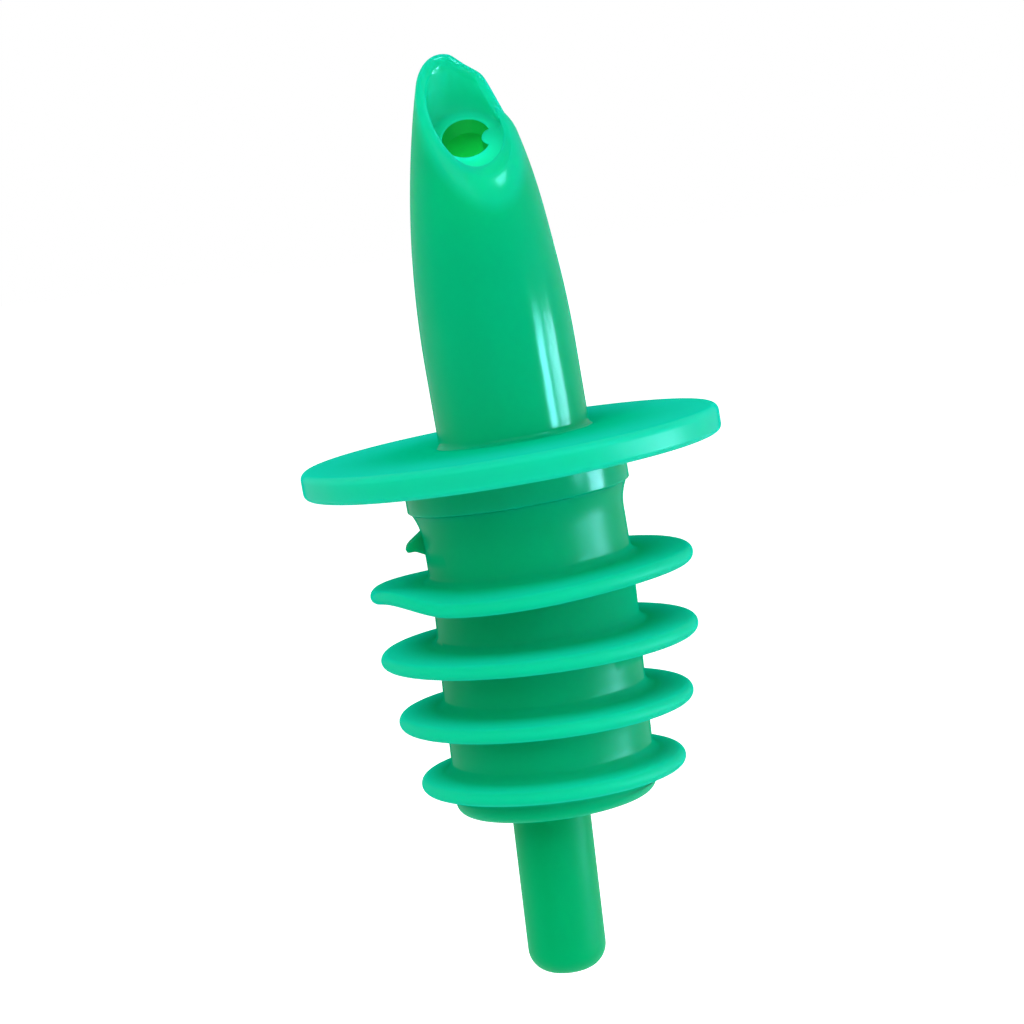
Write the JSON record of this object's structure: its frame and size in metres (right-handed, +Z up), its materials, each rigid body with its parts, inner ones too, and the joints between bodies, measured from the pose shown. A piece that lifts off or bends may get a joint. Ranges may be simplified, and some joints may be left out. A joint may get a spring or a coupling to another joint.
{
  "type": "pour spout",
  "caption": "Bottle pourer in one colour of moulded plastic: tapered spout with a slanted scooped mouth, round flange, finned stopper and breather stem.",
  "frame": {"origin": "on the stopper's axis, at the height of the middle of the flange's underside, where the bottle's lip bears", "axes": "+Z up along the stopper's axis towards the mouth; the slanted mouth faces -Y"},
  "size_m": [0.0314, 0.0314, 0.0697],
  "materials": {
    "spout_plastic": "glossy moulded, slightly translucent",
    "stopper_plastic": "glossy moulded, soft and slightly translucent"
  },
  "bodies": {
    "root": {"spout": "spout_plastic", "stopper": "stopper_plastic"}
  },
  "joints": []
}
